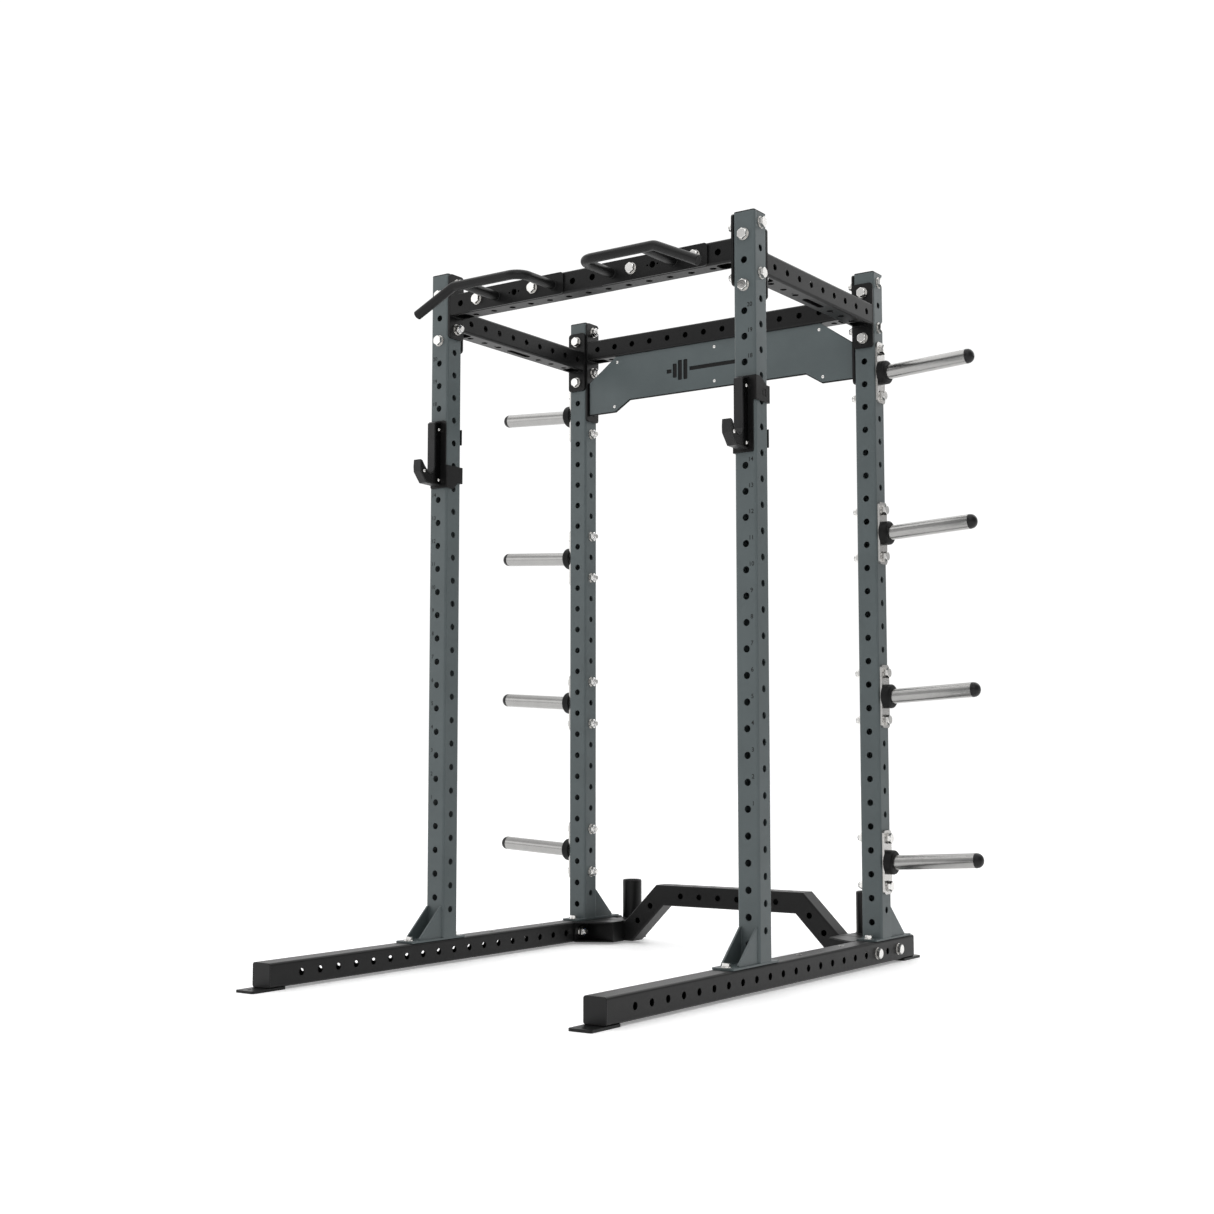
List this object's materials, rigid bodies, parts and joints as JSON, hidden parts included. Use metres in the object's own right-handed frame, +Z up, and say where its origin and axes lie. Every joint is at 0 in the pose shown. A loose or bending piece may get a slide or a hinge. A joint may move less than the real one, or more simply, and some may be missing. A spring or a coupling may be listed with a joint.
{
  "type": "power cage",
  "caption": "Perforated square-tube power cage on base rails with pull-up grips, turning bar holders, plate pegs and bar posts.",
  "frame": {"origin": "on the floor, at the middle of the cage's footprint", "axes": "+X to the right seen from the front, +Y to the rear, +Z up"},
  "size_m": [1.9992, 1.98, 2.3785],
  "materials": {
    "slate_paint": "fine texture powder coat",
    "black_paint": "fine texture powder coat",
    "black_plastic": "matt moulded",
    "rubber": "matt",
    "zinc": "zinc plated",
    "bright_steel": "satin drawn tube"
  },
  "bodies": {
    "frame": {"bar_post_left": "black_paint", "bar_post_right": "black_paint", "base_bolts": "zinc", "base_brackets": "slate_paint", "base_nuts": "zinc", "base_rail_left": "black_paint", "base_rail_right": "black_paint", "beam_bolts": "zinc", "crossmember_foot_left": "black_paint", "crossmember_foot_right": "black_paint", "foot_bolts": "zinc", "foot_plates": "black_paint", "front_crossbeam": "black_paint", "front_crossbeam_plates": "black_paint", "grip_bolts": "zinc", "grip_left": "black_paint", "grip_plates": "black_paint", "grip_right": "black_paint", "lower_crossmember": "black_paint", "nuts": "zinc", "panel_backing": "black_paint", "panel_face": "slate_paint", "panel_screws": "zinc", "peg_bolts": "zinc", "peg_caps": "black_plastic", "peg_collars": "rubber", "peg_plates": "zinc", "pegs_left": "bright_steel", "pegs_right": "bright_steel", "post_liners": "black_plastic", "rail_caps": "black_plastic", "rail_inserts": "zinc", "rear_crossbeam": "black_paint", "rear_crossbeam_plates": "black_paint", "side_beam_left": "black_paint", "side_beam_plates": "black_paint", "side_beam_right": "black_paint", "upright_caps": "black_plastic", "upright_front_left": "slate_paint", "upright_front_right": "slate_paint", "upright_rear_left": "slate_paint", "upright_rear_right": "slate_paint", "washers": "zinc"},
    "cup_left": {"cup_frame_left": "black_paint", "cup_hook_left": "black_plastic", "cup_pad_left": "black_plastic", "cup_pin_left": "bright_steel", "cup_screws_left": "zinc", "cup_side_plates_left": "black_paint"},
    "cup_right": {"cup_frame_right": "black_paint", "cup_hook_right": "black_plastic", "cup_pad_right": "black_plastic", "cup_pin_right": "bright_steel", "cup_screws_right": "zinc", "cup_side_plates_right": "black_paint"}
  },
  "joints": [
    {"name": "cup_left_turn", "type": "hinge", "parent": "frame", "child": "cup_left", "pos_m": [-0.6135, -0.1325, 1.7425], "axis": [0, -1, 0], "range_deg": [0, 90]},
    {"name": "cup_right_turn", "type": "hinge", "parent": "frame", "child": "cup_right", "pos_m": [0.6135, -0.1325, 1.7425], "axis": [0, 1, 0], "range_deg": [0, 90]}
  ]
}
